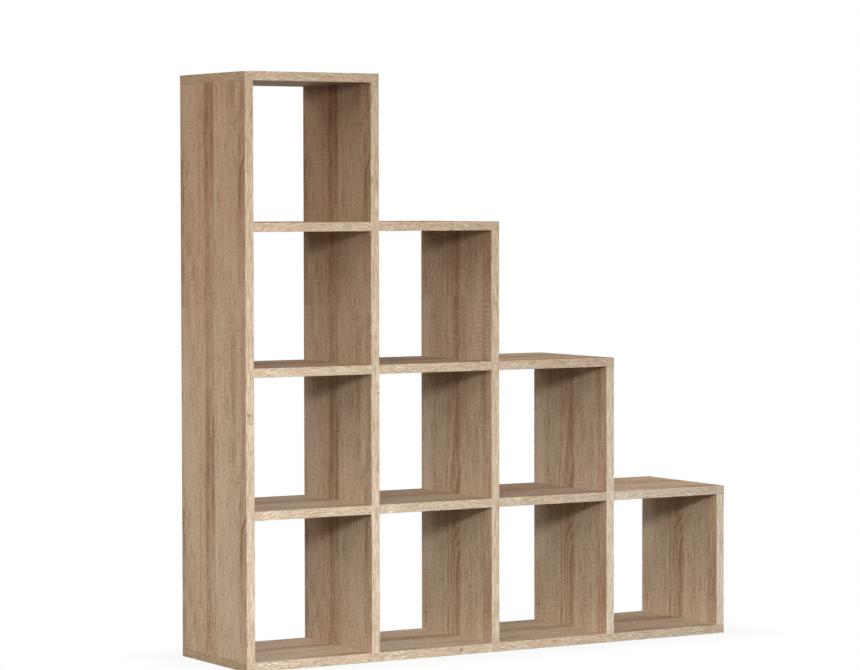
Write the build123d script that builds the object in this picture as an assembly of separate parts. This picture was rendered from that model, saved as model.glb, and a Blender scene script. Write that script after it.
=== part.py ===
from build123d import *
import os

# Staircase bookshelf with ten open compartments: four columns, four rows high at the left and one at the
# right. Melamine-faced boards with edge banding stand on one base board. Cam locks, bolts, dowels and
# screws hold them together.
# Millimetres, +Z up, front at -Y, tall column at -X. The origin is the centre of the underside.

# Boards
board_thickness = 22.0
banding_thickness = 1.0
banding_chamfer = 0.5  # on the outer long edges of the banding
cell_width = 318.75  # clear width between two uprights
unit_depth = 338.0  # banding included
row_1_height = 336.0  # clear heights, from the bottom row up
row_2_height = 316.0
row_3_height = 322.0
row_4_height = 334.0

# Every joint has one fixing near the back, which pulls it tight, and most have a dowel near the front.
fixing_inset = 50.0  # from the front or back of the unit to the axis of a fixing or dowel
bore_clearance = 0.2  # difference in diameter between a fitting and its bore

# Cam locks and their bolts
cam_diameter = 14.8
cam_distance = 34.0  # from the end of a board to the axis of the cam lock
cam_reach = 5.0  # of the cam lock past the middle of the board's thickness
cam_recess = 0.3  # of the cam lock below the face of the board
cam_play = 0.3  # around the bolt inside the cam lock
bolt_diameter = 5.0
bolt_head_diameter = 7.0
bolt_head_length = 2.5
bolt_thread_length = 11.0  # in the face of a board

# Fluted wooden dowels
dowel_diameter = 8.0
dowel_chamfer = 0.8
dowel_face_depth = 12.0  # in the face of a board
dowel_end_depth = 18.0  # in the end of a board
dowel_end_gap = 1.0  # room for glue beyond the dowel

# Countersunk screws that come up through the base
screw_diameter = 7.0
screw_length = 50.0
screw_head_diameter = 10.0
screw_head_height = 3.0
screw_tip_length = 4.0
screw_tip_diameter = 1.0
screw_recess = 0.3  # of the head above the underside of the base
screw_end_gap = 2.0  # beyond the tip

# Bars and bores that the joints hide have this many sides, which also stand for the dowels' flutes.
hidden_sides = 10

row_heights = (row_1_height, row_2_height, row_3_height, row_4_height)
columns = len(row_heights)
pitch = cell_width + board_thickness
unit_width = columns * pitch + board_thickness
core_depth = unit_depth - 2 * banding_thickness
fixing_y = unit_depth / 2 - fixing_inset  # fixings at +fixing_y, dowels at -fixing_y
half_board = board_thickness / 2
half_head = bolt_head_length / 2

# Underside of the board at each level: 0 is the base, 1 is the board above the bottom row.
level_z = [0.0]
for row_height in row_heights:
    level_z.append(level_z[-1] + board_thickness + row_height)

upright_names = ["left_side_panel"]
upright_names += [f"divider_panel_{number}" for number in range(1, columns)]
upright_names += ["right_side_panel"]

cores = {}
bandings = {}
bores = {}
fittings = {}


def upright_x(index):
    """Left face of an upright, counted from 0 at the left side."""
    return index * pitch - unit_width / 2


def top_level(index):
    """Level of the step board that lies on an upright."""
    return min(columns, columns + 1 - index)


def step_name(level):
    """The step board at a level: step 1 is the highest."""
    return f"step_panel_{columns + 1 - level}"


def board_name(column, level):
    """The board that closes a column, counted from 1, at a level: a shelf, or its step board on top."""
    if level == columns + 1 - column:
        return step_name(level)
    return f"shelf_panel_{column}_{level}"


# Boards and banding


def banding_strip(centre, size, outward):
    """Strip of edge banding with its two outer long edges chamfered."""
    strip = Box(*size)
    length_axis = (Axis.X, Axis.Y, Axis.Z)[size.index(max(size))]
    outer_edges = strip.edges().filter_by(length_axis).sort_by(Axis((0, 0, 0), outward))[-2:]
    return Pos(*centre) * chamfer(outer_edges, banding_chamfer)


def add_board(name, x_range, z_range, banded_ends=()):
    """Board banded at the front, at the back and at the listed ends, where -1 is left and 1 is right."""
    (left, right), (bottom, top) = x_range, z_range
    width, height = right - left, top - bottom
    middle_x, middle_z = (left + right) / 2, (bottom + top) / 2
    core_left = left + banding_thickness * (-1 in banded_ends)
    core_right = right - banding_thickness * (1 in banded_ends)
    core = Box(core_right - core_left, core_depth, height)
    cores[name] = Pos((core_left + core_right) / 2, 0, middle_z) * core
    strips = []
    for side in (-1, 1):
        strip_y = side * (unit_depth - banding_thickness) / 2
        strips.append(
            banding_strip((middle_x, strip_y, middle_z), (width, banding_thickness, height), (0, side, 0))
        )
    for side in banded_ends:
        strip_x = middle_x + side * (width - banding_thickness) / 2
        strips.append(
            banding_strip((strip_x, 0, middle_z), (banding_thickness, core_depth, height), (side, 0, 0))
        )
    bandings[name] = strips
    bores[name] = []


def add_boards():
    """Base, uprights, shelves between the uprights, and step boards that lie on them."""
    add_board("base_panel", (-unit_width / 2, unit_width / 2), (0.0, board_thickness), (-1, 1))
    for index, name in enumerate(upright_names):
        left = upright_x(index)
        add_board(name, (left, left + board_thickness), (board_thickness, level_z[top_level(index)]))
    for column in range(1, columns + 1):
        cell_left = upright_x(column - 1) + board_thickness
        cell_right = upright_x(column)
        for level in range(1, columns + 1 - column):
            z_range = (level_z[level], level_z[level] + board_thickness)
            add_board(board_name(column, level), (cell_left, cell_right), z_range)
        step = columns + 1 - column
        step_left = cell_left - board_thickness if column == 1 else cell_left
        add_board(
            step_name(step),
            (step_left, cell_right + board_thickness),
            (level_z[step], level_z[step] + board_thickness),
            (-1, 1) if column == 1 else (1,),
        )


# Fittings. Each is made with its axis on local X, which points into the end of a board from the joint at
# X = 0. Local +Z is the face of that board that the cam lock opens on.


def faceted(*outline):
    """Many-sided bar along the local X axis through (x, radius) points, in order of x."""
    bar_pieces = []
    for (start, start_radius), (end, end_radius) in zip(outline, outline[1:]):
        if end > start:
            first = Plane.YZ.offset(start) * RegularPolygon(start_radius, hidden_sides)
            last = Plane.YZ.offset(end) * RegularPolygon(end_radius, hidden_sides)
            bar_pieces.append(loft([first, last]))
    return sum(bar_pieces[1:], bar_pieces[0])


def bar(diameter, start, end):
    """Straight many-sided bar or bore on the local X axis."""
    return faceted((start, diameter / 2), (end, diameter / 2))


def block(x_range, width, z_range):
    """Block centred on the local X axis in Y."""
    size = (x_range[1] - x_range[0], width, z_range[1] - z_range[0])
    return Pos(sum(x_range) / 2, 0, sum(z_range) / 2) * Box(*size)


def make_cam_lock():
    """Drum with claws that hold the bolt's head, open towards the floor of its bore."""
    height = half_board - cam_recess + cam_reach
    drum = Pos(cam_distance, 0, height / 2 - cam_reach) * Cylinder(cam_diameter / 2, height)
    shoulder = cam_distance - half_head
    neck_gap = bolt_diameter + 2 * cam_play
    head_gap = bolt_head_diameter + 2 * cam_play
    neck_slot = block((cam_distance - cam_diameter, shoulder), neck_gap, (-cam_reach, neck_gap / 2))
    head_pocket = block((shoulder, cam_distance + half_head + cam_play), head_gap, (-cam_reach, head_gap / 2))
    return drum - neck_slot - head_pocket


def make_cam_bores():
    """Bore for the cam lock, open on the board's face, and the bore from the joint that the bolt uses."""
    depth = half_board + cam_reach
    cam_bore = Cylinder((cam_diameter + bore_clearance) / 2, depth)
    bolt_bore = bar(bolt_head_diameter + bore_clearance, 0, cam_distance)
    return Pos(cam_distance, 0, depth / 2 - cam_reach) * cam_bore + bolt_bore


def make_cam_bolt():
    """Bolt with a threaded end at X < 0 and a head that the cam lock holds."""
    shoulder = cam_distance - half_head
    bolt_radius, head_radius = bolt_diameter / 2, bolt_head_diameter / 2
    return faceted(
        (-bolt_thread_length, bolt_radius),
        (shoulder, bolt_radius),
        (shoulder, head_radius),
        (shoulder + bolt_head_length, head_radius),
    )


def make_through_bolt():
    """Bolt with a head at each end, centred in a divider."""
    shoulder = half_board + cam_distance - half_head
    tip = shoulder + bolt_head_length
    bolt_radius, head_radius = bolt_diameter / 2, bolt_head_diameter / 2
    return faceted(
        (-tip, head_radius),
        (-shoulder, head_radius),
        (-shoulder, bolt_radius),
        (shoulder, bolt_radius),
        (shoulder, head_radius),
        (tip, head_radius),
    )


def make_dowel(start, end):
    """Dowel with chamfered ends."""
    radius = dowel_diameter / 2
    return faceted(
        (start, radius - dowel_chamfer),
        (start + dowel_chamfer, radius),
        (end - dowel_chamfer, radius),
        (end, radius - dowel_chamfer),
    )


def make_base_screw():
    """Countersunk screw that points up the local X axis, its head in the base board."""
    head_face = screw_recess - board_thickness
    tip = head_face + screw_length
    return faceted(
        (head_face, screw_head_diameter / 2),
        (head_face + screw_head_height, screw_diameter / 2),
        (tip - screw_tip_length, screw_diameter / 2),
        (tip, screw_tip_diameter / 2),
    )


def make_countersunk_bore():
    """Bore through the base board that the screw's head sits in."""
    slope = (screw_head_diameter - screw_diameter) / 2 / screw_head_height
    mouth_radius = (screw_head_diameter + bore_clearance) / 2 + slope * screw_recess
    shank_radius = (screw_diameter + bore_clearance) / 2
    return faceted(
        (-board_thickness, mouth_radius),
        (screw_recess + screw_head_height - board_thickness, shank_radius),
        (0, shank_radius),
    )


cam_lock = make_cam_lock()
cam_bores = make_cam_bores()
cam_bolt = make_cam_bolt()
bolt_socket = bar(bolt_diameter + bore_clearance, -bolt_thread_length, 0)
through_bolt = make_through_bolt()
bolt_passage = bar(bolt_head_diameter + bore_clearance, -half_board, half_board)
short_dowel = make_dowel(-dowel_face_depth, dowel_end_depth)
through_dowel = make_dowel(-half_board - dowel_end_depth, half_board + dowel_end_depth)
dowel_bore_diameter = dowel_diameter + bore_clearance
dowel_face_bore = bar(dowel_bore_diameter, -dowel_face_depth, 0)
dowel_end_bore = bar(dowel_bore_diameter, 0, dowel_end_depth + dowel_end_gap)
dowel_passage = bar(dowel_bore_diameter, -half_board, half_board)
base_screw = make_base_screw()
countersunk_bore = make_countersunk_bore()
screw_end = screw_recess - board_thickness + screw_length + screw_end_gap
screw_pilot = bar(screw_diameter + bore_clearance, 0, screw_end)


def drill(board, place, *tools):
    """Notes bores to cut in a board."""
    bores[board] += [place * tool for tool in tools]


def fit(node, place, fitting):
    """Puts a fitting in place."""
    fittings.setdefault(node, []).append(place * fitting)


def joint_place(x, y, z, into, opening):
    """Place of a joint: into points into the end of a board, opening out of the face its cam opens on."""
    return Plane(origin=(x, y, z), x_dir=into, z_dir=opening).location


def join_shelf_to_side(shelf, level):
    """Shelf on the left side's inner face: a cam lock with its bolt at the back, a dowel in front."""
    x, z = upright_x(0) + board_thickness, level_z[level] + half_board
    back = joint_place(x, fixing_y, z, (1, 0, 0), (0, 0, -1))
    front = joint_place(x, -fixing_y, z, (1, 0, 0), (0, 0, -1))
    drill(shelf, back, cam_bores)
    drill("left_side_panel", back, bolt_socket)
    fit("cam_locks", back, cam_lock)
    fit("cam_bolts", back, cam_bolt)
    drill(shelf, front, dowel_end_bore)
    drill("left_side_panel", front, dowel_face_bore)
    fit("short_dowels", front, short_dowel)


def join_across_divider(index, level):
    """Boards on both sides of a divider: one bolt with two cam locks at the back, one dowel in front."""
    divider = upright_names[index]
    x, z = upright_x(index) + half_board, level_z[level] + half_board
    for side, column in ((-1, index), (1, index + 1)):
        board = board_name(column, level)
        face_x = x + side * half_board
        back = joint_place(face_x, fixing_y, z, (side, 0, 0), (0, 0, -1))
        front = joint_place(face_x, -fixing_y, z, (side, 0, 0), (0, 0, -1))
        drill(board, back, cam_bores)
        drill(board, front, dowel_end_bore)
        fit("cam_locks", back, cam_lock)
    drill(divider, Pos(x, fixing_y, z), bolt_passage)
    drill(divider, Pos(x, -fixing_y, z), dowel_passage)
    fit("through_bolts", Pos(x, fixing_y, z), through_bolt)
    fit("through_dowels", Pos(x, -fixing_y, z), through_dowel)


def join_step_to_upright(index):
    """Step board on top of an upright: a cam lock in the upright's right face, its bolt in the step."""
    level = top_level(index)
    top = joint_place(upright_x(index) + half_board, fixing_y, level_z[level], (0, 0, -1), (1, 0, 0))
    drill(upright_names[index], top, cam_bores)
    drill(step_name(level), top, bolt_socket)
    fit("cam_locks", top, cam_lock)
    fit("cam_bolts", top, cam_bolt)


def join_upright_to_base(index):
    """Upright on the base: a screw from below at the back, a dowel in front."""
    x = upright_x(index) + half_board
    back = joint_place(x, fixing_y, board_thickness, (0, 0, 1), (1, 0, 0))
    front = joint_place(x, -fixing_y, board_thickness, (0, 0, 1), (1, 0, 0))
    drill("base_panel", back, countersunk_bore)
    drill(upright_names[index], back, screw_pilot)
    fit("base_screws", back, base_screw)
    drill("base_panel", front, dowel_face_bore)
    drill(upright_names[index], front, dowel_end_bore)
    fit("short_dowels", front, short_dowel)


def add_joints():
    """Every joint of the unit."""
    for level in range(1, columns):
        join_shelf_to_side(board_name(1, level), level)
    for index in range(1, columns):
        for level in range(1, columns + 1 - index):
            join_across_divider(index, level)
    for index in range(columns + 1):
        join_step_to_upright(index)
        join_upright_to_base(index)


def write_parts():
    """One STEP file for each board, for the banding of each board and for each kind of fitting."""
    os.makedirs("parts", exist_ok=True)
    for name, core in cores.items():
        export_step(core - bores[name], f"parts/{name}.step")
        export_step(Compound(children=bandings[name]), f"parts/{name}_edge_banding.step")
    for name, pieces in fittings.items():
        export_step(Compound(children=pieces), f"parts/{name}.step")


add_boards()
add_joints()
write_parts()
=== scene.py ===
"""Dresses the staircase bookshelf in sawn oak decor and stands it in a small white studio."""

import math
from collections import namedtuple

import bpy
from bpy.props import FloatProperty, FloatVectorProperty, PointerProperty
from bpy.types import Operator, Panel, PropertyGroup
from mathutils import Euler, Matrix, Vector


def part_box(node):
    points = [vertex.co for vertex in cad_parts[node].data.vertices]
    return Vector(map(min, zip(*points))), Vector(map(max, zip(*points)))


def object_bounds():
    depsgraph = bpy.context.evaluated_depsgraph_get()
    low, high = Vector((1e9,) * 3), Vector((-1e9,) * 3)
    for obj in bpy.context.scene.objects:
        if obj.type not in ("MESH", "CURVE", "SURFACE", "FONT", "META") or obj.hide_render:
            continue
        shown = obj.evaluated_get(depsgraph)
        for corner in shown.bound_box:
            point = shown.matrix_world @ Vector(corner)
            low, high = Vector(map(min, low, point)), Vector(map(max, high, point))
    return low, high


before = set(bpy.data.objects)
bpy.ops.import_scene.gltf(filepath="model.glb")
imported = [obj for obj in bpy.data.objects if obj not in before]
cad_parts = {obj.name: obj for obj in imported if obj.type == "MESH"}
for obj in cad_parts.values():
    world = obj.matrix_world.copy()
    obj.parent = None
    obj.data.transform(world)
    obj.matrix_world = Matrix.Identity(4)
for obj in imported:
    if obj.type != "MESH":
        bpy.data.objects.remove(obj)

bl_info = {
    "name": "Staircase bookshelf",
    "version": (1, 0, 0),
    "blender": (4, 5, 0),
    "location": "View3D > Sidebar > Bookshelf",
    "description": "Sawn oak decor, edge banding and fittings of a staircase bookshelf, and its studio",
    "category": "Object",
}

MM = 0.001

BANDING = "_edge_banding"
LEFT_HAND_BOARDS = ("left_side_panel", "divider_panel_1")
UPRIGHTS = LEFT_HAND_BOARDS + ("divider_panel_2", "divider_panel_3", "right_side_panel")
BASE = "base_panel"


def boards(kind):
    """Names of the boards of one kind, in order."""
    names = [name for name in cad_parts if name.startswith(kind)]
    return tuple(sorted(name for name in names if not name.endswith(BANDING)))


STEPS = boards("step_panel_")
SHELVES = boards("shelf_panel_")

CAD_LOW, CAD_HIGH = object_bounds()
UNIT_DEPTH = CAD_HIGH.y - CAD_LOW.y
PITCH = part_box(UPRIGHTS[1])[0].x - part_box(UPRIGHTS[0])[0].x

# Size of the print on the boards in millimetres. It spans a board's depth and starts again along the board.
PRINT_WIDTH = 338
PRINT_LENGTH = 853


# ----------------------------------------------------------
# Sizes and colours that a user may change
# ----------------------------------------------------------


def linear(channel):
    """Linear value of one display channel from 0 to 255, by the sRGB formula."""
    share = channel / 255
    return share / 12.92 if share <= 0.04045 else ((share + 0.055) / 1.055) ** 2.4


def shade(red, green, blue):
    """Linear colour of a display colour, each channel from 0 to 255."""
    return linear(red), linear(green), linear(blue)


def colour_setting(name, description, default):
    """Colour that a user may change."""
    return FloatVectorProperty(
        name=name, description=description, subtype="COLOR", size=3, min=0, max=1, default=default
    )


def length_setting(name, description, default):
    """Length in metres that a user may change."""
    return FloatProperty(
        name=name, description=description, unit="LENGTH", min=0, precision=4, default=default
    )


def angle_setting(name, description, degrees):
    """Angle that a user may change."""
    return FloatProperty(name=name, description=description, subtype="ANGLE", default=math.radians(degrees))


def strength_setting(name, description, default):
    """Strength of light that a user may change."""
    return FloatProperty(name=name, description=description, min=0, default=default)


def share_setting(name, description, default):
    """Share from 0 to 1 that a user may change."""
    return FloatProperty(name=name, description=description, min=0, max=1, default=default)


class DecorSettings(PropertyGroup):
    """Printed oak decor on the faces of the boards."""

    pale_tan: colour_setting("Pale tan", "Widest and lightest planks", shade(210, 187, 160))
    warm_tan: colour_setting("Warm tan", "Planks of middle tone", shade(209, 180, 151))
    cool_tan: colour_setting("Cool tan", "Greyer planks", shade(203, 181, 154))
    brown_tan: colour_setting("Brown tan", "Narrow planks between two seams", shade(194, 163, 135))
    amber_tan: colour_setting("Amber tan", "Deeper planks, as at the front edge", shade(201, 171, 142))
    olive_cast: colour_setting("Olive cast", "Greener patches", shade(190, 171, 139))
    rosy_cast: colour_setting("Rosy cast", "Redder patches", shade(196, 160, 130))
    seam_brown: colour_setting("Seam brown", "Darkest grain, as where two planks meet", shade(138, 105, 77))
    pore_brown: colour_setting("Pore brown", "Fine open pores", shade(122, 94, 72))
    pale_grain: colour_setting("Pale grain", "Saw marks and the lightest lines", shade(222, 204, 181))
    repeat: length_setting("Repeat", "Length after which the print starts again", PRINT_LENGTH * MM)
    contrast: FloatProperty(name="Contrast", description="Of the fine grain", min=0, max=2, default=1.0)
    roughness: share_setting("Roughness", "Of the matt face", 0.72)


class BandingSettings(PropertyGroup):
    """Edge banding of the boards."""

    cream: colour_setting("Cream", "Ground of the banding", shade(211, 191, 166))
    tan: colour_setting("Tan", "Darker grain of the banding", shade(160, 130, 100))
    pale: colour_setting("Pale", "Lightest grain of the banding", shade(240, 228, 208))
    end_stain: colour_setting("End stain", "Deepens the ends of base and steps", shade(240, 228, 214))
    knot: colour_setting("Knot", "Small knots", shade(134, 98, 68))
    roughness: share_setting("Roughness", "Of the matt banding", 0.68)


class FittingSettings(PropertyGroup):
    """Cam locks, bolts, screws, dowels and the raw core of the boards."""

    zinc: colour_setting("Zinc", "Die-cast cam locks", (0.3, 0.3, 0.31))
    steel: colour_setting("Steel", "Zinc-plated bolts and screws", (0.6, 0.6, 0.62))
    beech: colour_setting("Beech", "Wooden dowels", shade(205, 172, 132))
    pale_chips: colour_setting("Pale chips", "Chipboard in the bores", shade(196, 164, 120))
    dark_chips: colour_setting("Dark chips", "Chipboard in the bores", shade(122, 92, 62))


class StudioSettings(PropertyGroup):
    """Camera, lamps and floor."""

    camera_place: FloatVectorProperty(
        name="Camera",
        description="Place of the lens",
        subtype="TRANSLATION",
        size=3,
        default=(-4.3085, -7.049, 1.114),
    )
    camera_turn: angle_setting("Turn", "Of the camera to the right", 30.92)
    camera_dip: angle_setting("Dip", "Of the camera below the horizon", 2.336)
    camera_roll: angle_setting("Roll", "Of the camera about its axis", -0.104)
    lens: FloatProperty(name="Lens", description="Focal length on a 36 mm sensor", min=1, default=138.3)
    lamps: strength_setting("Lamps", "Strength of all the lamps together", 1.0)
    front_sky: strength_setting("Front sky", "Soft light from the front, high up", 1.26)
    left_sky: strength_setting("Left sky", "Soft light from the left, halfway up", 2.3)
    floor_size: length_setting("Floor", "Width of the floor", 24.0)
    floor_shadow: share_setting("Floor shadow", "Depth of the shadow by the unit", 0.12)
    shadow_reach: length_setting("Shadow reach", "How far from the unit the shadow fades out", 0.2)


SETTINGS = {
    "shelf_decor": DecorSettings,
    "shelf_banding": BandingSettings,
    "shelf_fittings": FittingSettings,
    "shelf_studio": StudioSettings,
}


# ----------------------------------------------------------
# Shader maths
# ----------------------------------------------------------


class Value:
    """An output socket, on which Python's arithmetic adds Math nodes."""

    def __init__(self, tree, socket):
        self.tree = tree
        self.socket = socket

    def maths(self, operation, *operands):
        """One Math node on the operands."""
        return self.tree.add("ShaderNodeMath", {"operation": operation}, dict(enumerate(operands)))

    def __add__(self, other):
        return self.maths("ADD", self, other)

    def __radd__(self, other):
        return self.maths("ADD", other, self)

    def __sub__(self, other):
        return self.maths("SUBTRACT", self, other)

    def __rsub__(self, other):
        return self.maths("SUBTRACT", other, self)

    def __neg__(self):
        return self.maths("SUBTRACT", 0.0, self)

    def __mul__(self, other):
        return self.maths("MULTIPLY", self, other)

    def __rmul__(self, other):
        return self.maths("MULTIPLY", other, self)

    def __truediv__(self, other):
        return self.maths("DIVIDE", self, other)

    def __mod__(self, other):
        return self.maths("FLOORED_MODULO", self, other)

    def __pow__(self, other):
        return self.maths("POWER", self, other)

    def __abs__(self):
        return self.maths("ABSOLUTE", self)

    def __gt__(self, other):
        return self.maths("GREATER_THAN", self, other)

    def above(self, other):
        """The larger of this and other."""
        return self.maths("MAXIMUM", self, other)

    def wave(self):
        """Sine of this as an angle in radians, brought to between 0 and 1."""
        return self.maths("SINE", self) * 0.5 + 0.5

    def fade(self, start, end):
        """0 at start and 1 at end, with a smooth rise between; start may be the larger."""
        settings = {"interpolation_type": "SMOOTHSTEP"}
        return self.tree.add("ShaderNodeMapRange", settings, {0: self, 1: start, 2: end, 3: 0.0, 4: 1.0})

    def within(self, low, high, softness):
        """1 between low and high, and 0 beyond them."""
        return self.fade(low - softness, low + softness) * self.fade(high + softness, high - softness)

    def curve(self, points, height=1.0):
        """Smooth curve through points of (this, result); this runs from 0 to 1 and results up to height."""
        shares = tuple((place, result / height) for place, result in points)
        curve = self.tree.add("ShaderNodeFloatCurve", {"points": shares}, {"Value": self})
        return curve if height == 1.0 else curve * height


class Tree:
    """Node tree of a material or the world."""

    def __init__(self, tree):
        self.tree = tree
        tree.nodes.clear()

    def add(self, kind, settings, sockets, output=0):
        """One node: its settings first, then a value or a link for each socket, by its place or name."""
        node = self.tree.nodes.new(kind)
        for name, setting in settings.items():
            if name == "points":
                set_points(node.mapping, setting)
            elif name == "stops":
                set_stops(node.color_ramp, setting)
            else:
                setattr(node, name, setting)
        for key, value in sockets.items():
            if isinstance(value, Value):
                self.tree.links.new(value.socket, node.inputs[key])
            else:
                node.inputs[key].default_value = value
        return Value(self, node.outputs[output] if node.outputs else None)

    def parts(self, vector):
        """X, Y and Z of a vector."""
        return [self.add("ShaderNodeSeparateXYZ", {}, {0: vector}, axis) for axis in "XYZ"]

    def position(self):
        """X, Y and Z of the point, in metres in the frame of the whole unit."""
        return self.parts(self.add("ShaderNodeTexCoord", {}, {}, "Object"))

    def facing(self):
        """X, Y and Z of the face's own direction."""
        return self.parts(self.add("ShaderNodeNewGeometry", {}, {}, "Normal"))

    def noise(self, across, along, layer, seed=0):
        """Cloudy value around 0.5, with the spots of one layer of the grain that has that seed."""
        place = {0: across / layer.width, 1: along / layer.length, 2: seed + layer.order}
        point = self.add("ShaderNodeCombineXYZ", {}, place)
        sockets = {"Vector": point, "Scale": 1.0, "Detail": layer.detail, "Roughness": layer.roughness}
        return self.add("ShaderNodeTexNoise", {}, sockets)

    def ramp(self, place, stops):
        """Colour that changes with place, from stops of (place, colour)."""
        return self.add("ShaderNodeValToRGB", {"stops": stops}, {0: place})

    def mix(self, share, first, second, kind="MIX"):
        """Colour that goes from first to second as share goes from 0 to 1."""
        settings = {"data_type": "RGBA", "blend_type": kind}
        return self.add("ShaderNodeMix", settings, {0: share, 6: opaque(first), 7: opaque(second)}, 2)

    def mix_both_ways(self, tone, colour, above, below):
        """Colour that turns to one (colour, share) where tone is above 0, and to another below 0."""
        colour = self.mix(tone.above(0.0) * above[1], colour, above[0])
        return self.mix((-tone).above(0.0) * below[1], colour, below[0])

    def surface(self, height, depth, **sockets):
        """Principled surface with a bump of that depth in metres."""
        bump = self.add("ShaderNodeBump", {}, {"Height": height, "Strength": 1.0, "Distance": depth})
        names = {key.replace("_", " "): value for key, value in sockets.items()}
        shader = self.add("ShaderNodeBsdfPrincipled", {}, {"Normal": bump, **names})
        self.add("ShaderNodeOutputMaterial", {}, {"Surface": shader})


def set_points(mapping, points):
    """Gives a curve its points, the first and the last of which it already has."""
    curve = mapping.curves[0]
    ordered = sorted(points)
    curve.points[0].location = ordered[0]
    curve.points[-1].location = ordered[-1]
    for place in ordered[1:-1]:
        curve.points.new(*place)
    for point in curve.points:
        point.handle_type = "AUTO_CLAMPED"
    mapping.update()


def set_stops(ramp, stops):
    """Gives a ramp its stops, two of which it already has."""
    for number, (place, colour) in enumerate(stops):
        stop = ramp.elements[number] if number < 2 else ramp.elements.new(place)
        stop.position = place
        stop.color = opaque(colour)


def opaque(colour):
    """Colour with its alpha, where it is three numbers."""
    return colour if isinstance(colour, Value) else (*colour, 1.0)


def darkest(masks):
    """Strongest of several masks at each point."""
    strongest = masks[0]
    for mask in masks[1:]:
        strongest = strongest.above(mask)
    return strongest


def scaled(colour, factors):
    """Colour with each channel multiplied by its own factor."""
    return tuple(channel * factor for channel, factor in zip(colour, factors))


def new_material(name):
    """Empty material and its tree."""
    material = bpy.data.materials.new(name)
    material.use_nodes = True
    return material, Tree(material.node_tree)


def dress(node, material):
    """Gives a packed node its finish."""
    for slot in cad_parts[node].material_slots:
        slot.material = material


# ----------------------------------------------------------
# The print on the boards. Places are millimetres, across from the back edge and along from the print's own
# start, and a figure's start is where that lies along the board. Planks are (place across, colour). A
# stroke is a row of stations, each of which is its place along, its place across, its half width and its
# depth of tone, from 0 to 1.
# ----------------------------------------------------------

Figure = namedtuple("Figure", "planks dark pale arches cuts ripples start")

# Arches of a board cut beside the heart: the line across at which they end, the place along up to which
# they run straight, the width and height of the widest, and how many there are.
Arches = namedtuple("Arches", "middle foot width height count tone")

# Thin pale mark that the saw left across the grain, from start to end.
Cut = namedtuple("Cut", "place start end tone")

# Patch of close faint saw marks, with its range across and along.
Ripples = namedtuple("Ripples", "across along pitch tone")


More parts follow.
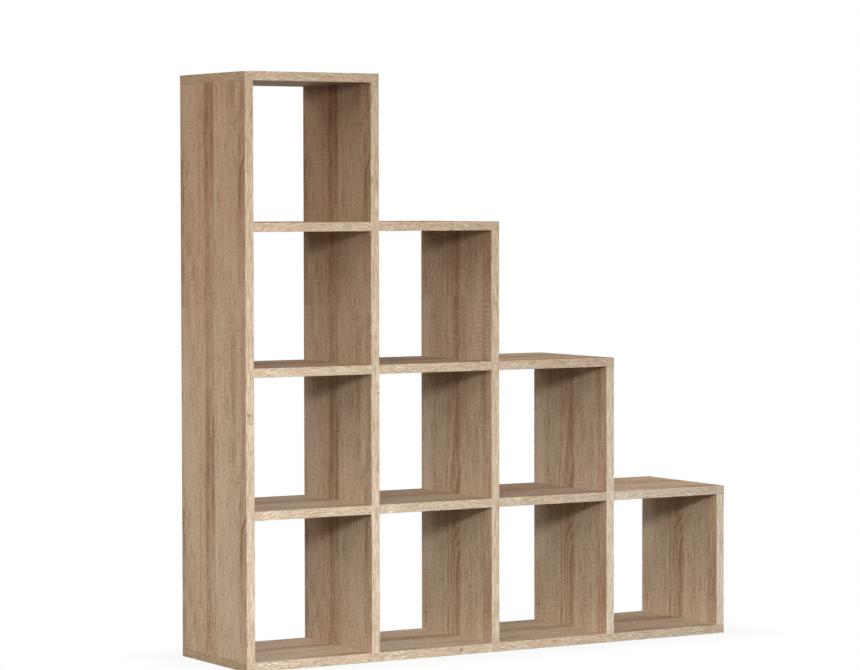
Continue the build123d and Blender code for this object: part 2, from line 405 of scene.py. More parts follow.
STRAIGHT = Figure(
    planks=(
        (0, "warm_tan"),
        (22, "warm_tan"),
        (36, "pale_tan"),
        (68, "pale_tan"),
        (86, "warm_tan"),
        (126, "warm_tan"),
        (132, "brown_tan"),
        (170, "brown_tan"),
        (177, "pale_tan"),
        (240, "pale_tan"),
        (272, "cool_tan"),
        (296, "cool_tan"),
        (308, "amber_tan"),
        (PRINT_WIDTH, "amber_tan"),
    ),
    dark=(
        # First seam, a wide band that thins out into a dash and then a line.
        (
            (300, 140, 10, 0.2),
            (412, 136, 9, 0.3),
            (460, 139, 12, 0.54),
            (510, 141, 14, 0.62),
            (600, 142, 15, 0.55),
            (680, 143, 14, 0.38),
            (PRINT_LENGTH, 140, 11, 0.25),
        ),
        (
            (328, 143, 2, 0),
            (345, 141, 4.5, 0.65),
            (376, 136.5, 4, 0.9),
            (402, 131, 3, 0.8),
            (420, 129, 2, 0),
        ),
        ((246, 134, 1.5, 0), (264, 133.5, 2.4, 0.7), (305, 132.5, 2.4, 0.65), (340, 131, 1.5, 0)),
        (
            (0, 134, 5, 0.34),
            (60, 134.5, 5, 0.4),
            (130, 134, 4, 0.3),
            (255, 134, 4, 0.24),
            (300, 134, 3, 0),
        ),
        # Second seam, and the edge of the narrow plank in front of it.
        (
            (300, 166, 4, 0),
            (392, 166, 7, 0.42),
            (450, 167, 8, 0.6),
            (545, 167, 8, 0.52),
            (600, 167, 7, 0.3),
            (PRINT_LENGTH, 168, 5, 0.16),
        ),
        ((0, 176, 1.8, 0.25), (150, 176.5, 2, 0.38), (330, 176, 1.8, 0.3), (400, 176, 1.5, 0)),
        # Left limbs of the arches at the front edge.
        (
            (232, 308, 2, 0),
            (262, 310, 5, 0.6),
            (305, 313, 6, 0.85),
            (338, 318, 6, 0.8),
            (354, 327, 6, 0.7),
            (368, 337, 5, 0.6),
        ),
        (
            (300, 303, 2, 0),
            (350, 305, 3, 0.35),
            (430, 310, 3, 0.45),
            (505, 318, 3, 0.4),
            (590, 335, 3, 0.25),
        ),
        ((160, 305, 2, 0), (205, 309, 3, 0.25), (255, 318, 3, 0.42), (318, 333, 3, 0.45)),
        # Streaks and shades of the rear planks and then of the front ones.
        ((120, 96, 3, 0), (190, 97, 4, 0.22), (330, 99, 4, 0.3), (450, 97, 3, 0)),
        ((0, 11, 12, 0.36), (140, 10, 12, 0.4), (330, 9, 10, 0.32), (470, 6, 6, 0.1), (600, 4, 4, 0)),
        (
            (0, 38, 16, 0.24),
            (200, 38, 16, 0.18),
            (300, 38, 10, 0),
            (700, 38, 8, 0),
            (PRINT_LENGTH, 38, 16, 0.2),
        ),
        (
            (470, 276, 10, 0),
            (560, 275, 16, 0.24),
            (740, 276, 18, 0.34),
            (820, 278, 14, 0.2),
            (PRINT_LENGTH, 280, 8, 0),
        ),
        (
            (360, 318, 8, 0),
            (450, 318, 12, 0.12),
            (650, 320, 14, 0.24),
            (800, 321, 14, 0.28),
            (PRINT_LENGTH, 322, 8, 0.1),
        ),
    ),
    pale=(
        (
            (370, 26, 12, 0),
            (430, 28, 18, 0.22),
            (590, 28, 18, 0.25),
            (680, 27, 19, 0.45),
            (PRINT_LENGTH, 26, 16, 0.3),
        ),
        ((480, 289, 2.2, 0), (545, 289, 2.6, 0.4), (700, 288, 2.6, 0.35), (760, 288, 2, 0)),
        ((470, 300, 2, 0), (560, 300, 2.4, 0.35), (690, 300, 2.4, 0.3), (740, 300, 2, 0)),
        ((480, 312, 2, 0), (600, 312, 2.4, 0.35), (720, 311, 2.4, 0.3), (760, 311, 2, 0)),
        ((150, 183, 3, 0), (220, 184, 4, 0.3), (420, 184, 4, 0.3), (520, 184, 3, 0)),
    ),
    arches=Arches(middle=372, foot=250, width=72, height=300, count=6, tone=0.5),
    cuts=(),
    ripples=(
        Ripples(across=(304, 336), along=(765, PRINT_LENGTH), pitch=4.7, tone=0.5),
        Ripples(across=(304, 336), along=(0, 42), pitch=4.7, tone=0.5),
    ),
    start=0,
)

FLAME = Figure(
    planks=(
        (0, "pale_tan"),
        (46, "pale_tan"),
        (64, "cool_tan"),
        (122, "cool_tan"),
        (132, "amber_tan"),
        (148, "amber_tan"),
        (158, "brown_tan"),
        (184, "brown_tan"),
        (189, "warm_tan"),
        (215, "pale_tan"),
        (276, "pale_tan"),
        (296, "amber_tan"),
        (PRINT_WIDTH, "amber_tan"),
    ),
    dark=(
        # Seam beside the heart of the tree, which the arches run into.
        (
            (430, 176, 5, 0.2),
            (464, 173, 10, 0.42),
            (500, 172, 12, 0.62),
            (560, 172, 12, 0.56),
            (610, 172, 11, 0.34),
            (670, 172, 11, 0.34),
            (715, 171, 13, 0.5),
            (PRINT_LENGTH, 171, 14, 0.56),
        ),
        (
            (0, 172, 12, 0.4),
            (90, 172, 11, 0.42),
            (150, 175, 8, 0.5),
            (190, 180, 6, 0.5),
            (222, 185, 3, 0),
        ),
        ((0, 175, 2, 0.35), (70, 175, 2, 0.5), (140, 175, 1.8, 0.4), (172, 175, 1.5, 0)),
        # Wedge below the seam.
        (
            (325, 168, 8, 0),
            (352, 171, 12, 0.5),
            (374, 176, 11, 0.78),
            (396, 180, 8, 0.82),
            (418, 184, 5, 0.7),
            (442, 187, 3, 0),
        ),
        # Streaks and shades of all the planks.
        (
            (340, 150, 14, 0),
            (385, 152, 15, 0.3),
            (450, 158, 12, 0.32),
            (520, 161, 8, 0.3),
            (590, 164, 5, 0),
        ),
        (
            (0, 130, 3.5, 0.3),
            (210, 130, 4, 0.36),
            (360, 124, 4, 0.25),
            (600, 131, 4, 0.28),
            (PRINT_LENGTH, 128, 3.5, 0.2),
        ),
        ((60, 287, 3, 0), (150, 287, 4.5, 0.22), (290, 288, 4.5, 0.22), (340, 288, 3, 0)),
        ((0, 324, 14, 0.32), (150, 325, 13, 0.26), (270, 328, 9, 0)),
        ((690, 70, 6, 0), (760, 72, 8, 0.14), (PRINT_LENGTH, 74, 8, 0.08)),
        (
            (0, 303, 8, 0.28),
            (120, 303, 9, 0.3),
            (260, 300, 8, 0.2),
            (420, 301, 8, 0.26),
            (PRINT_LENGTH, 304, 12, 0.4),
        ),
        ((340, 328, 6, 0), (400, 326, 10, 0.3), (440, 326, 10, 0.25), (520, 326, 6, 0)),
        ((690, 326, 8, 0), (760, 324, 12, 0.2), (PRINT_LENGTH, 324, 14, 0.34)),
        ((370, 64, 3, 0), (430, 63, 3.5, 0.22), (560, 66, 3.5, 0.25), (650, 66, 3, 0)),
        ((340, 262, 12, 0), (400, 264, 19, 0.24), (500, 266, 19, 0.28), (600, 268, 12, 0)),
        ((690, 206, 8, 0), (740, 206, 14, 0.26), (840, 206, 14, 0.24), (PRINT_LENGTH, 206, 10, 0.1)),
        ((340, 226, 10, 0), (420, 228, 16, 0.14), (520, 230, 16, 0.16), (600, 230, 10, 0)),
        ((30, 108, 3, 0), (90, 109, 3.5, 0.25), (240, 107, 3.5, 0.2), (300, 107, 3, 0)),
    ),
    pale=(
        # Line that bends round the seam.
        (
            (330, 121, 2, 0),
            (366, 128, 2.4, 0.5),
            (420, 135, 2.4, 0.6),
            (462, 147, 2.4, 0.6),
            (500, 153, 2.4, 0.55),
            (545, 156, 2.4, 0.55),
            (578, 165, 2.2, 0.5),
            (660, 165, 2, 0.3),
            (700, 165, 2, 0),
        ),
        ((0, 139, 2.2, 0.55), (120, 139, 2.2, 0.5), (240, 138, 2, 0.4), (310, 138, 1.8, 0)),
        ((0, 163, 1.8, 0.35), (170, 162, 1.8, 0.3), (210, 162, 1.5, 0)),
        ((690, 165, 1.8, 0.3), (790, 164, 1.8, 0.35), (825, 164, 1.5, 0)),
        ((735, 134, 2, 0), (775, 134, 2.2, 0.5), (PRINT_LENGTH, 130, 2, 0.45)),
        ((340, 26, 12, 0), (400, 27, 19, 0.42), (490, 28, 19, 0.42), (560, 30, 12, 0)),
        ((370, 84, 8, 0), (420, 84, 14, 0.26), (490, 84, 14, 0.2), (560, 84, 8, 0)),
        ((680, 24, 12, 0), (730, 25, 19, 0.5), (820, 26, 19, 0.4), (PRINT_LENGTH, 27, 14, 0.2)),
    ),
    arches=Arches(middle=192, foot=173, width=60, height=120, count=4, tone=1.0),
    cuts=(
        Cut(28, 131, 165, 0.7),
        Cut(38, 144, 166, 0.4),
        Cut(48, 146, 170, 0.35),
        Cut(487, 256, 337, 0.4),
        Cut(540, 256, 337, 0.32),
        Cut(713, 145, 170, 0.5),
        Cut(757, 131, 166, 0.8),
        Cut(753, 168, 190, 0.5),
        Cut(778, 135, 155, 0.55),
        Cut(795, 165, 181, 0.5),
        Cut(818, 160, 187, 0.65),
        Cut(842, 130, 163, 0.6),
    ),
    ripples=(
        Ripples(across=(246, 336), along=(705, PRINT_LENGTH), pitch=11.0, tone=0.8),
        Ripples(across=(246, 336), along=(0, 24), pitch=11.0, tone=0.5),
    ),
    start=21,
)

# Layer of grain: width and length of its spots, in the unit of the place that it is drawn at; its order
# among the seeds; how strongly it counts, as a share of tone or in millimetres that it moves the grain; and
# how finely its noise is broken up.
Layer = namedtuple("Layer", "width length order strength detail roughness", defaults=(1.0, 1.0, 0.5))

# Layers of the print in millimetres. The first two move the grain across.
WANDER = Layer(90, 260, 0, strength=10)
RAGGED = Layer(6, 24, 1, strength=4, detail=2.0)
CLOUDS = Layer(55, 300, 2, strength=0.8)
STREAKS = Layer(9, 260, 3, strength=0.75, detail=2.0)
FIBRES = Layer(1.5, 60, 4, strength=2.7)
FLECKS = Layer(1.6, 6, 5, strength=2.9)
HAIRS = Layer(1.1, 34, 6, strength=1.5)
PORES = Layer(1.5, 8, 7, strength=0.1)
PORE_GROUPS = Layer(24, 110, 8, detail=2.0)
CASTS = Layer(26, 150, 9, detail=2.0)
DRIFT = Layer(30, 60, 10)
BREAKS = Layer(9, 5, 11)

# Values of noise at which these start to show and show in full.
PORE_FADE = (0.58, 0.72)
PORE_GROUP_FADE = (0.42, 0.62)
UNBROKEN_FADE = (0.3, 0.5)

FLECK_SLANT = 0.12  # millimetres across for each millimetre along
EDGE_WANDER = 0.3  # share of the wander that planks and strokes follow
PLANK_RAGGED = 0.5  # share of the raggedness that planks have
OLIVE_SHARE = 1.3
ROSY_SHARE = 1.6
PALE_SHARE = 0.9

STROKE_FEATHER = 1.2  # millimetres beyond a stroke's half width, where it has faded out
STROKE_CORE = 0.55  # share of a stroke's half width and feather that has its full tone
WIDEST_STROKE = 20.0  # half width in millimetres
ARCH_SHARE = 0.6
ARCH_SIDES = (0.04, 1.02, 0.04)  # start, end and softness, as shares of the width
ARCH_RIM = (1.12, 0.95)  # where arches have faded out and are full, as shares of the widest

CUT_THICKNESS = 1.7  # millimetres from its middle line, where a cut has faded out
CUT_CORE = 0.4  # millimetres from its middle line that have its full tone
CUT_ENDS = 5  # millimetres of softness
CUT_SLOPE = 0.02  # millimetres along for each millimetre across
CUT_DRIFT = 4  # millimetres along that cuts stray
RIPPLE_DRIFT = 14  # radians that ripples stray
RIPPLE_SIDES = 6  # millimetres of softness
RIPPLE_ENDS = 10  # millimetres of softness
SAW_SHARE = 0.85


def draw_stroke(across, share, stations, length):
    """Mask of one stroke; share is the place along it as a share of length."""
    places, centres, widths, tones = zip(*stations)
    shares = [place / length for place in places]
    centre = share.curve(zip(shares, centres), PRINT_WIDTH)
    width = share.curve(zip(shares, widths), WIDEST_STROKE)
    tone = share.curve(zip(shares, tones))
    return (abs(across - centre) / (width + STROKE_FEATHER)).fade(1.0, STROKE_CORE) * tone


def draw_arches(across, along, arches):
    """Mask of nested arches."""
    side = (arches.middle - across) / arches.width
    rise = (along - arches.foot).above(0.0) / arches.height
    distance = (side * side + rise * rise) ** 0.5
    ridges = (distance * (2 * math.pi * arches.count)).wave()
    inside = side.within(*ARCH_SIDES) * distance.fade(*ARCH_RIM)
    return ridges * inside * along.fade(0, arches.foot) * arches.tone


def draw_cut(across, along, cut):
    """Mask of one cut."""
    slope = (across - (cut.start + cut.end) / 2) * CUT_SLOPE
    line = abs(along - cut.place + slope).fade(CUT_THICKNESS, CUT_CORE)
    return line * across.within(cut.start, cut.end, CUT_ENDS) * cut.tone


def draw_ripples(across, along, drift, ripples):
    """Mask of one patch of ripples."""
    wave = (along * (2 * math.pi / ripples.pitch) + drift * RIPPLE_DRIFT).wave()
    patch = across.within(*ripples.across, RIPPLE_SIDES)
    return wave * patch * along.within(*ripples.along, RIPPLE_ENDS) * ripples.tone


def draw_saw_marks(tree, across, along, figure, flecks, seed):
    """Mask of all the marks that the saw left, which the flecks break up."""
    drift = tree.noise(across, along, DRIFT, seed)
    marks = darkest([draw_ripples(across, along, drift, ripples) for ripples in figure.ripples])
    marks = marks * (flecks * 2.4 + 0.5)
    if figure.cuts:
        unbroken = tree.noise(across, along, BREAKS, seed).fade(*UNBROKEN_FADE)
        cuts = darkest([draw_cut(across, along + drift * CUT_DRIFT, cut) for cut in figure.cuts])
        marks = marks.above(cuts * unbroken)
    return marks


def oak_face(tree, across, along, figure, seed, tint_and_painted_light, decor):
    """Colour, height and roughness of the decor, at places in metres; the tint scales its planks, as their
    own tone and as painted light and shade.
    """
    length = decor.repeat / MM
    along = ((along - figure.start * MM) % decor.repeat) / MM
    across = across / MM
    share = along / length
    wander = (tree.noise(across, along, WANDER, seed) - 0.5) * WANDER.strength
    ragged = (tree.noise(across, along, RAGGED, seed) - 0.5) * RAGGED.strength
    grain = across + wander
    edge = across + wander * EDGE_WANDER + ragged

    clouds = tree.noise(across, along, CLOUDS, seed) - 0.5
    streaks = tree.noise(grain, along, STREAKS, seed) - 0.5
    fibres = tree.noise(grain, along, FIBRES, seed) - 0.5
    flecks = tree.noise(grain + along * FLECK_SLANT, along, FLECKS, seed) - 0.5
    hairs = tree.noise(grain, along, HAIRS, seed) - 0.5
    pores = tree.noise(grain, along, PORES, seed).fade(*PORE_FADE)
    pore_groups = tree.noise(grain, along, PORE_GROUPS, seed).fade(*PORE_GROUP_FADE)
    casts = tree.noise(grain, along, CASTS, seed) - 0.5

    dark = darkest([draw_stroke(edge, share, stations, length) for stations in figure.dark])
    pale = darkest([draw_stroke(edge, share, stations, length) for stations in figure.pale])
    arches = draw_arches(edge, along + ragged, figure.arches)
    saw = draw_saw_marks(tree, across, along, figure, flecks, seed)

    planks = [(place / PRINT_WIDTH, getattr(decor, name)) for place, name in figure.planks]
    stops = [(share_across, scaled(colour, tint_and_painted_light)) for share_across, colour in planks]
    plank_edge = across + wander * EDGE_WANDER + ragged * PLANK_RAGGED
    ground = tree.ramp(plank_edge / PRINT_WIDTH, stops)
    ground = tree.mix_both_ways(
        casts, ground, above=(decor.olive_cast, OLIVE_SHARE), below=(decor.rosy_cast, ROSY_SHARE)
    )

    tone = clouds * CLOUDS.strength + streaks * STREAKS.strength + fibres * FIBRES.strength
    tone = (tone + flecks * FLECKS.strength + hairs * HAIRS.strength) * decor.contrast
    colour = tree.mix_both_ways(
        tone, ground, above=(decor.seam_brown, 1.0), below=(decor.pale_grain, PALE_SHARE)
    )
    # Fibres and flecks break up the seams and arches.
    granular = 0.85 + fibres * 2.4 + flecks * 1.2
    colour = tree.mix(arches * ARCH_SHARE * granular, colour, decor.seam_brown)
    colour = tree.mix(dark * granular, colour, decor.seam_brown)
    colour = tree.mix(pores * pore_groups * PORES.strength, colour, decor.pore_brown)
    colour = tree.mix(pale * (0.9 + flecks), colour, decor.pale_grain)
    colour = tree.mix(saw * SAW_SHARE, colour, decor.pale_grain)

    height = fibres * 0.6 + hairs * 0.5 + saw * 0.3 - pores * 0.6
    roughness = decor.roughness + fibres * 0.12 + pores * 0.08
    return colour, height, roughness


# ----------------------------------------------------------
# Finishes
# ----------------------------------------------------------

# Boards whose planks are lighter, darker or warmer than the rest, as factors of red, green and blue. These
# are partly the boards' own tone and partly painted light and shade, such as a darker top step, a lighter
# lowest step and a lighter right side panel.
BOARD_TINTS_AND_PAINTED_LIGHT = {
    "left_side_panel": (1.15, 1.1, 1.05),
    "right_side_panel": (1.08, 1.08, 1.08),
    "base_panel": (1.06, 1.06, 1.06),
    "shelf_panel_1_2": (0.88, 0.87, 0.86),
    "shelf_panel_2_2": (0.86, 0.85, 0.84),
    "shelf_panel_2_1": (0.95, 0.94, 0.93),
    "shelf_panel_3_1": (0.94, 0.93, 0.92),
    "step_panel_1": (0.84, 0.82, 0.8),
    "step_panel_3": (1.0, 0.96, 0.92),
    "step_panel_4": (1.16, 1.1, 1.04),
}

NO_TINT = (1.0, 1.0, 1.0)

# Painted shade: a deeper and warmer tone that the boards and their banding take on towards the top of the
# unit, standing in for light that falls off with height: the heights in metres where it starts and is full,
# and its factors of red, green and blue.
PAINTED_SHADE_RISE = (0.25, 1.35)
BOARD_PAINTED_SHADE = (0.93, 0.83, 0.76)
BANDING_PAINTED_SHADE = (1.0, 0.965, 0.92)

PRINT_BUMP = 0.12 * MM
SECOND_FACE_SHIFT = 0.31  # metres along, of the print on the second face of a board
MATT_SPECULAR = 0.03  # of melamine and banding, which hardly mirror
CHIPS = Layer(2.4 * MM, 2.4 * MM, 5, detail=3.0)  # of the raw core, in metres
RAW_FACING = (0.8, 0.6)  # squareness to the thickness, from decor to raw core


def with_painted_height_shade(tree, colour, height, factors):
    """Colour with painted shade that darkens and warms it by the factors towards the top of the unit."""
    return tree.mix(height.fade(*PAINTED_SHADE_RISE), colour, factors, "MULTIPLY")


def board_material(name, upright, figure, seed, settings):
    """Finish of one board: decor on both faces, raw chipboard in its bores and ends."""
    low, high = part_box(name)
    fittings = settings.shelf_fittings
    material, tree = new_material(f"{name}_decor")
    x, y, z = tree.position()
    facing = tree.facing()
    thickness, along, start = (x, z, 0.0) if upright else (z, x, low.x)
    middle = (low.x + high.x) / 2 if upright else (low.z + high.z) / 2
    second_face = (thickness > middle) if upright else 1.0 - (thickness > middle)
    across = CAD_HIGH.y - y
    across = across + second_face * (UNIT_DEPTH - across - across)
    along = along - start + second_face * SECOND_FACE_SHIFT
    # Own tone of the board, together with painted light and shade.
    tint_and_painted_light = BOARD_TINTS_AND_PAINTED_LIGHT.get(name, NO_TINT)
    colour, height, roughness = oak_face(tree, across, along, figure, seed, tint_and_painted_light, settings.shelf_decor)

    chipboard = tree.mix(tree.noise(x, y + z, CHIPS), fittings.pale_chips, fittings.dark_chips)
    raw = abs(facing[0] if upright else facing[2]).fade(*RAW_FACING)
    # The base colour carries painted shade that darkens and warms the board towards the top of the unit.
    tree.surface(
        height=height,
        depth=PRINT_BUMP,
        Base_Color=tree.mix(raw, with_painted_height_shade(tree, colour, z, BOARD_PAINTED_SHADE), chipboard),
        Roughness=roughness + raw * 0.2,
        Specular_IOR_Level=MATT_SPECULAR,
    )
    return material


# Grain of the banding on uprights and on level boards, with layers in millimetres. Lean moves it across.
BandingGrain = namedtuple("BandingGrain", "lean streaks strokes flecks")
UPRIGHT_GRAIN = BandingGrain(
    lean=Layer(60, 150, 0, strength=12),
    streaks=Layer(4.94, 126, 1, strength=1.2, detail=2.0),
    strokes=Layer(1.9, 42, 2, strength=2.5, detail=2.0, roughness=0.6),
    flecks=Layer(1.52, 18.9, 3, strength=0.55),
)
LEVEL_GRAIN = BandingGrain(
    lean=Layer(60, 90, 0, strength=14),
    streaks=Layer(4.42, 66, 1, strength=1.2, detail=2.0),
    strokes=Layer(1.7, 22, 2, strength=2.5, detail=2.0, roughness=0.6),
    flecks=Layer(1.36, 9.9, 3, strength=0.55),
)
BANDING_HAIRS = Layer(0.7, 12, 4, strength=0.9)
BANDING_PATCHES = Layer(40, 120, 5, strength=0.4)
BANDING_FLECK_FADE = (0.54, 0.72)
BANDING_BUMP = 0.08 * MM
PALE_GRAIN_SHARE = 1.5
END_FACING = (0.6, 0.8)  # squareness to the width of the unit, from front to end

# Curve that the grain of a level board's banding follows over each cell, as (share of the cell,
# millimetres).
SHELF_LEAN = ((0.0, 0.0), (0.18, 21.0), (0.38, 33.0), (0.62, 36.0), (0.8, 27.0), (1.0, 10.0))
BASE_LEAN = ((0.0, 36.0), (0.35, 20.0), (0.7, 9.0), (1.0, 0.0))
STEEPEST_LEAN = 40.0

# Level banding is darker by a share of tone. Its pale strokes are paler still over one part of each cell,
# given by its start, end and softness as shares of the cell.
LEVEL_TONE = 0.08
PALER_PART = (0.12, 0.3, 0.06)
PALER_STROKES = 0.4
PALE_STROKE_FADE = (0.02, -0.12)

# Paleness of the banding, as the share of tone that it takes away: partly the banding's own tone and partly
# painted light, mostly paler towards the right of the unit and darker on the left. The other boards have
# none.
PALE_BANDING_AND_PAINTED_LIGHT = {
    BASE: -0.04,
    "left_side_panel": -0.06,
    "divider_panel_3": 0.28,
    "right_side_panel": 0.36,
    "step_panel_1": 0.08,
    "step_panel_4": 0.16,
}

# Butt joint in the banding of a step, in millimetres from the left face of the upright on its left, and how
# far the strip beyond it is shifted along.
JOINTS = {"step_panel_2": 233, "step_panel_3": 233}
JOINT_SHIFT = 470
JOINT_SHARE = 0.5
JOINT_LINE = (0.9, 0.3)  # millimetres from its middle, where it has faded out and is full

# Knots of the banding: places across and along and half sizes across and along, in millimetres, and tone.
Knot = namedtuple("Knot", "across along half_width half_length tone")
KNOTS = {
    BASE: (Knot(12, 593, 4.2, 5.5, 0.7),),
    "left_side_panel": (Knot(8, 608, 6, 4, 0.6), Knot(12, 588, 5, 3, 0.35)),
    "divider_panel_1": (Knot(17.5, 650, 4, 3.4, 0.6), Knot(14, 664, 4, 2.4, 0.4)),
    "divider_panel_2": (Knot(12, 601, 3.4, 6, 0.45), Knot(12, 860, 3, 6, 0.4)),
}
KNOT_RIM = (1.6, 0.2)  # squared distance in half sizes, where knots have faded out and are full


def draw_knots(across, along, knots):
    """Mask of small knots."""
    masks = []
    for knot in knots:
        side = (across - knot.across) / knot.half_width
        rise = (along - knot.along) / knot.half_length
        masks.append((side * side + rise * rise).fade(*KNOT_RIM) * knot.tone)
    return darkest(masks)


def banding_material(board, upright, seed, settings):
    """Finish of the banding on one board."""
    name = board + BANDING
    low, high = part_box(name)
    banding = settings.shelf_banding
    layers = UPRIGHT_GRAIN if upright else LEVEL_GRAIN
    material, tree = new_material(f"{name}_decor")
    x, y, z = tree.position()
    cell = ((x - CAD_LOW.x) % PITCH) / PITCH
    if upright:
        across, along = (x - low.x) / MM, z / MM
    else:
        across, along = (z - low.z) / MM, (x + y - low.x - low.y) / MM
    if board in JOINTS:
        along = along + (cell * (PITCH / MM) > JOINTS[board]) * JOINT_SHIFT
    lean = (tree.noise(across, along, layers.lean, seed) - 0.5) * layers.lean.strength
    if not upright:
        lean = lean - cell.curve(BASE_LEAN if board == BASE else SHELF_LEAN, STEEPEST_LEAN)
    grain = across + lean

    streaks = tree.noise(grain, along, layers.streaks, seed) - 0.5
    strokes = tree.noise(grain, along, layers.strokes, seed) - 0.5
    flecks = tree.noise(grain, along, layers.flecks, seed).fade(*BANDING_FLECK_FADE)
    hairs = tree.noise(grain, along, BANDING_HAIRS, seed) - 0.5
    patches = tree.noise(across, along, BANDING_PATCHES, seed) - 0.5
    tone = streaks * layers.streaks.strength + strokes * layers.strokes.strength
    tone = tone + hairs * BANDING_HAIRS.strength + patches * BANDING_PATCHES.strength
    tone = tone + flecks * layers.flecks.strength
    if not upright:
        pale_strokes = strokes.fade(*PALE_STROKE_FADE)
        tone = tone + LEVEL_TONE - cell.within(*PALER_PART) * pale_strokes * PALER_STROKES
    # Own paleness of the banding, together with painted light that is paler towards the right.
    tone = tone - PALE_BANDING_AND_PAINTED_LIGHT.get(board, 0.0)

    colour = tree.mix_both_ways(
        tone, banding.cream, above=(banding.tan, 1.0), below=(banding.pale, PALE_GRAIN_SHARE)
    )
    if board in KNOTS:
        colour = tree.mix(draw_knots(across, along, KNOTS[board]), colour, banding.knot)
    if board in JOINTS:
        joint = abs(cell * (PITCH / MM) - JOINTS[board]).fade(*JOINT_LINE)
        colour = tree.mix(joint * JOINT_SHARE, colour, banding.pale)
    if not upright:
        end = abs(tree.facing()[0]).fade(*END_FACING)
        colour = tree.mix(end, colour, banding.end_stain, "MULTIPLY")
    # The base colour carries painted shade that darkens and warms the banding towards the top of the unit.
    tree.surface(
        height=strokes * 0.6 + hairs * 0.4,
        depth=BANDING_BUMP,
        Base_Color=with_painted_height_shade(tree, colour, z, BANDING_PAINTED_SHADE),
        Roughness=banding.roughness + strokes * 0.1,
        Specular_IOR_Level=MATT_SPECULAR,
    )
    return material


# Clouds and pits of the metals, and grain and rays of the beech, in metres.
METAL_CLOUDS = Layer(6 * MM, 6 * MM, 1, detail=3.0)
CAST_PITS = Layer(0.6 * MM, 0.6 * MM, 2, detail=2.0)
PLATED_PITS = Layer(0.3 * MM, 0.3 * MM, 2, detail=2.0)
METAL_BUMP = 0.03 * MM
DULL_METAL = (0.72, 0.72, 0.72)
BEECH_GRAIN = Layer(0.8 * MM, 7 * MM, 1, detail=2.0)
BEECH_RAYS = Layer(0.5 * MM, 2.5 * MM, 2, detail=2.0)
BEECH_BUMP = 0.05 * MM
DARK_BEECH = (0.6, 0.6, 0.6)


def metal_material(name, colour, roughness, pit_layer):
    """Cast or plated metal, clouded and slightly pitted."""
    material, tree = new_material(name)
    x, y, z = tree.position()
    clouds = tree.noise(x + z, y - z, METAL_CLOUDS)
    pits = tree.noise(x + z, y - z, pit_layer)
    tree.surface(
        height=pits,
        depth=METAL_BUMP,
        Base_Color=tree.mix(clouds * 0.6 + pits.fade(0.55, 0.7) * 0.3, colour, scaled(colour, DULL_METAL)),
        Roughness=roughness + (clouds - 0.5) * 0.2,
        Metallic=1.0,
    )
    return material


def beech_material(name, colour):
    """Bare beech with short darker rays."""
    material, tree = new_material(name)
    x, y, z = tree.position()
    grain = tree.noise(x + y, z, BEECH_GRAIN)
    rays = tree.noise(y, x + z, BEECH_RAYS).fade(0.58, 0.7)
    tree.surface(
        height=grain,
        depth=BEECH_BUMP,
        Base_Color=tree.mix(grain * 0.35 + rays * 0.4, colour, scaled(colour, DARK_BEECH)),
        Roughness=0.62 + grain * 0.1,
    )
    return material


# ----------------------------------------------------------
# Operators
# ----------------------------------------------------------


class DressUprights(Operator):
    """Decor on the side panels and the dividers."""

    bl_idname = "bookshelf.dress_uprights"
    bl_label = "Side panels and dividers"

    def execute(self, context):
        for name in UPRIGHTS:
            figure, seed = (STRAIGHT, 11) if name in LEFT_HAND_BOARDS else (FLAME, 23)
            dress(name, board_material(name, True, figure, seed, context.scene))
        return {"FINISHED"}


class DressSteps(Operator):
    """Decor on the base and the boards that top each column."""

    bl_idname = "bookshelf.dress_steps"
    bl_label = "Base and steps"

    def execute(self, context):
        for seed, name in enumerate((BASE, *STEPS), 31):
            dress(name, board_material(name, False, STRAIGHT, seed, context.scene))
        return {"FINISHED"}


class DressShelves(Operator):
    """Decor on the shelves between the uprights."""

    bl_idname = "bookshelf.dress_shelves"
    bl_label = "Shelves"

    def execute(self, context):
        for seed, name in enumerate(SHELVES, 41):
            dress(name, board_material(name, False, STRAIGHT, seed, context.scene))
        return {"FINISHED"}


class DressBanding(Operator):
    """Grain on the edge banding of every board."""

    bl_idname = "bookshelf.dress_banding"
    bl_label = "Edge banding"

    def execute(self, context):
        for seed, board in enumerate(UPRIGHTS, 61):
            dress(board + BANDING, banding_material(board, True, seed, context.scene))
        for seed, board in enumerate((BASE, *STEPS, *SHELVES), 71):
            dress(board + BANDING, banding_material(board, False, seed, context.scene))
        return {"FINISHED"}


class DressFittings(Operator):
    """Metal of the cam locks, bolts and screws, and wood of the dowels."""

    bl_idname = "bookshelf.dress_fittings"
    bl_label = "Fittings"

    def execute(self, context):
        fittings = context.scene.shelf_fittings
        dress("cam_locks", metal_material("cast_zinc", fittings.zinc, 0.58, CAST_PITS))
        steel = metal_material("plated_steel", fittings.steel, 0.3, PLATED_PITS)
        for name in ("cam_bolts", "through_bolts", "base_screws"):
            dress(name, steel)
        beech = beech_material("bare_beech", fittings.beech)
        for name in ("short_dowels", "through_dowels"):
            dress(name, beech)
        return {"FINISHED"}


# ----------------------------------------------------------
# Studio
# ----------------------------------------------------------

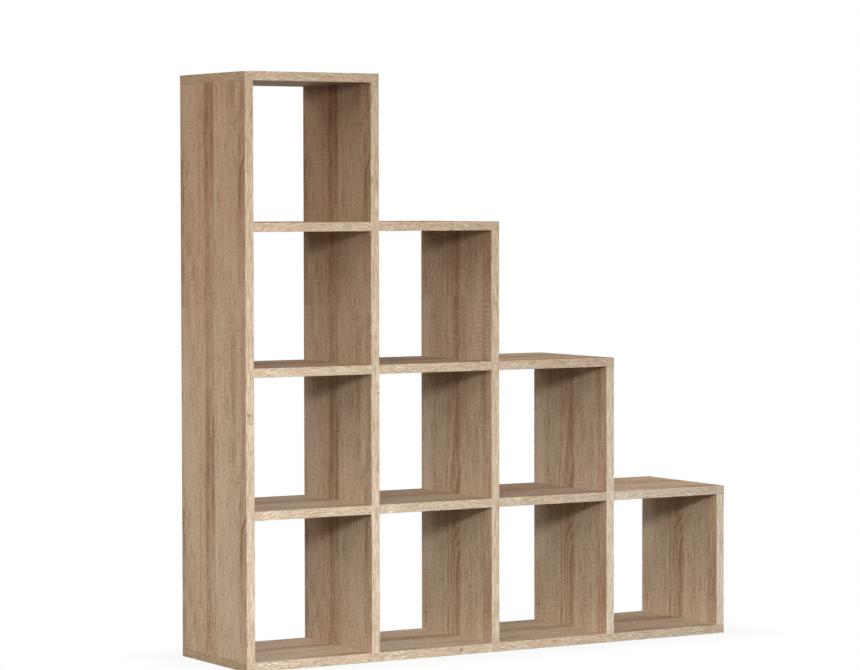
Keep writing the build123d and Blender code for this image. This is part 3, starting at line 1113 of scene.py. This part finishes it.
# A lamp's name, its place, the point it is aimed at, its watts, its radius and the angle of its cone in
# degrees.
Lamp = namedtuple("Lamp", "name place aim power radius cone")
LAMPS = (
    Lamp("key_lamp", (-1.6, -4.66, 1.82), (-1.2, -0.1, -1.6), 913, 0.3, 90),
    Lamp("low_left_lamp", (-2.2, -0.6, 0.55), (-0.69, -0.1, 0.5), 5.5, 0.4, 150),
    Lamp("low_front_lamp", (-2.4, -1.9, 0.5), (-0.5, 0.0, 0.35), 8.9, 0.4, 150),
    Lamp("rear_lamp", (1.2, 5.2, 0.45), (0.0, 0.0, 0.6), 480, 0.9, 45),
    Lamp("right_lamp", (5.0, 1.2, 0.4), (0.0, 0.0, 0.6), 560, 0.9, 45),
    Lamp("top_lamp", (0.3, 0.3, 4.6), (0.2, 0.0, 0.5), 115, 0.5, 50),
)

# How the soft light of the world changes with height, as (sine of the angle above the horizon, share).
LEFT_SKY = ((0.0, 0.24), (0.24, 0.24), (0.36, 1.0), (0.54, 1.0), (0.66, 0.0), (1.0, 0.0))
FRONT_SKY = ((0.0, 0.0), (0.24, 0.0), (0.36, 0.34), (0.54, 0.34), (0.66, 1.0), (1.0, 1.0))

WHITE = (1.0, 1.0, 1.0, 1.0)
LIT_FLOOR = (0.8, 0.8, 0.8, 1.0)
DIM_FLOOR = (0.1, 0.1, 0.1, 1.0)
FLOOR_GAP = 0.3 * MM  # under the unit


def camera_rotation(studio):
    """Turn to the right, dip below the horizon, and roll about the lens axis."""
    level = Euler((math.pi / 2 - studio.camera_dip, 0, -studio.camera_turn)).to_matrix()
    return level @ Matrix.Rotation(studio.camera_roll, 3, "Z")


def add_camera(scene, studio):
    """The scene's camera."""
    camera = bpy.data.objects.new("camera", bpy.data.cameras.new("camera"))
    camera.data.lens = studio.lens
    camera.location = studio.camera_place
    camera.rotation_euler = camera_rotation(studio).to_euler()
    scene.collection.objects.link(camera)
    scene.camera = camera


def add_lamp(scene, strength, lamp):
    """One lamp, at that share of its watts."""
    spot = bpy.data.objects.new(lamp.name, bpy.data.lights.new(lamp.name, "SPOT"))
    spot.data.energy = lamp.power * strength
    spot.data.shadow_soft_size = lamp.radius
    spot.data.spot_size = math.radians(lamp.cone)
    spot.data.spot_blend = 1.0
    spot.location = lamp.place
    spot.rotation_euler = (Vector(lamp.aim) - Vector(lamp.place)).to_track_quat("-Z", "Y").to_euler()
    scene.collection.objects.link(spot)


def seen_directly(tree):
    """1 where the lens, gloss or glass looks, and 0 for light that falls on a surface."""
    rays = ("Is Camera Ray", "Is Glossy Ray", "Is Transmission Ray")
    return darkest([tree.add("ShaderNodeLightPath", {}, {}, ray) for ray in rays])


def add_world(scene, studio):
    """Soft light from the front and the left, with a world that is seen as plain white."""
    world = bpy.data.worlds.new("studio")
    world.use_nodes = True
    scene.world = world
    tree = Tree(world.node_tree)
    right, back, up = tree.parts(tree.add("ShaderNodeTexCoord", {}, {}, "Generated"))
    left_light = (-right).above(0.0) * up.curve(LEFT_SKY) * studio.left_sky
    front_light = (-back).above(0.0) * up.curve(FRONT_SKY) * studio.front_sky
    light = tree.add("ShaderNodeBackground", {}, {"Color": WHITE, "Strength": left_light + front_light})
    white = tree.add("ShaderNodeBackground", {}, {"Color": WHITE, "Strength": 1.0})
    mixed = tree.add("ShaderNodeMixShader", {}, {0: seen_directly(tree), 1: light, 2: white})
    tree.add("ShaderNodeOutputWorld", {}, {"Surface": mixed})


def floor_material(studio):
    """White floor with a soft shadow close to the unit, and dim for the light that it throws back."""
    material, tree = new_material("floor")
    x, y, z = tree.position()
    beyond_side = (abs(x) - CAD_HIGH.x).above(0.0)
    beyond_front = (abs(y) - CAD_HIGH.y).above(0.0)
    distance = (beyond_side * beyond_side + beyond_front * beyond_front) ** 0.5
    clear = distance.fade(0.0, studio.shadow_reach) * studio.floor_shadow
    whiteness = (1.0 - studio.floor_shadow) + clear
    lit = tree.add("ShaderNodeBsdfDiffuse", {}, {"Color": LIT_FLOOR})
    dim = tree.add("ShaderNodeBsdfDiffuse", {}, {"Color": DIM_FLOOR})
    white = tree.add("ShaderNodeEmission", {}, {"Color": WHITE, "Strength": 1.0})
    shadow = tree.add("ShaderNodeMixShader", {}, {0: whiteness, 1: lit, 2: white})
    mixed = tree.add("ShaderNodeMixShader", {}, {0: seen_directly(tree), 1: dim, 2: shadow})
    tree.add("ShaderNodeOutputMaterial", {}, {"Surface": mixed})
    return material


def add_floor(scene, studio):
    """Flat floor under the unit."""
    half = studio.floor_size / 2
    mesh = bpy.data.meshes.new("floor")
    corners = [(x, y, -FLOOR_GAP) for x, y in ((-half, -half), (half, -half), (half, half), (-half, half))]
    mesh.from_pydata(corners, [], [(0, 1, 2, 3)])
    mesh.materials.append(floor_material(studio))
    floor = bpy.data.objects.new("floor", mesh)
    scene.collection.objects.link(floor)


class SetStage(Operator):
    """Camera, lamps, world and floor."""

    bl_idname = "bookshelf.set_stage"
    bl_label = "Studio"

    def execute(self, context):
        scene = context.scene
        studio = scene.shelf_studio
        scene.view_settings.view_transform = "Standard"
        add_camera(scene, studio)
        for lamp in LAMPS:
            add_lamp(scene, studio.lamps, lamp)
        add_world(scene, studio)
        add_floor(scene, studio)
        return {"FINISHED"}


# ----------------------------------------------------------
# Panel, registration and the run
# ----------------------------------------------------------

JOBS = (SetStage, DressUprights, DressSteps, DressShelves, DressBanding, DressFittings)


class BookshelfPanel(Panel):
    """Lists the jobs and their settings."""

    bl_idname = "VIEW3D_PT_bookshelf"
    bl_label = "Staircase bookshelf"
    bl_space_type = "VIEW_3D"
    bl_region_type = "UI"
    bl_category = "Bookshelf"

    def draw(self, context):
        for job in JOBS:
            self.layout.operator(job.bl_idname)
        for name, group in SETTINGS.items():
            box = self.layout.box()
            box.label(text=group.__doc__)
            for setting in group.__annotations__:
                box.prop(getattr(context.scene, name), setting)


CLASSES = (*SETTINGS.values(), *JOBS, BookshelfPanel)


def register():
    """Adds the classes, and each group of settings to the scene."""
    for item in CLASSES:
        bpy.utils.register_class(item)
    for name, group in SETTINGS.items():
        setattr(bpy.types.Scene, name, PointerProperty(type=group))


def unregister():
    """Takes back what register added."""
    for name in SETTINGS:
        delattr(bpy.types.Scene, name)
    for item in reversed(CLASSES):
        bpy.utils.unregister_class(item)


def main():
    """Registers the classes and does each job in order."""
    register()
    for job in JOBS:
        group, name = job.bl_idname.split(".")
        getattr(getattr(bpy.ops, group), name)()


if __name__ == "__main__":
    main()
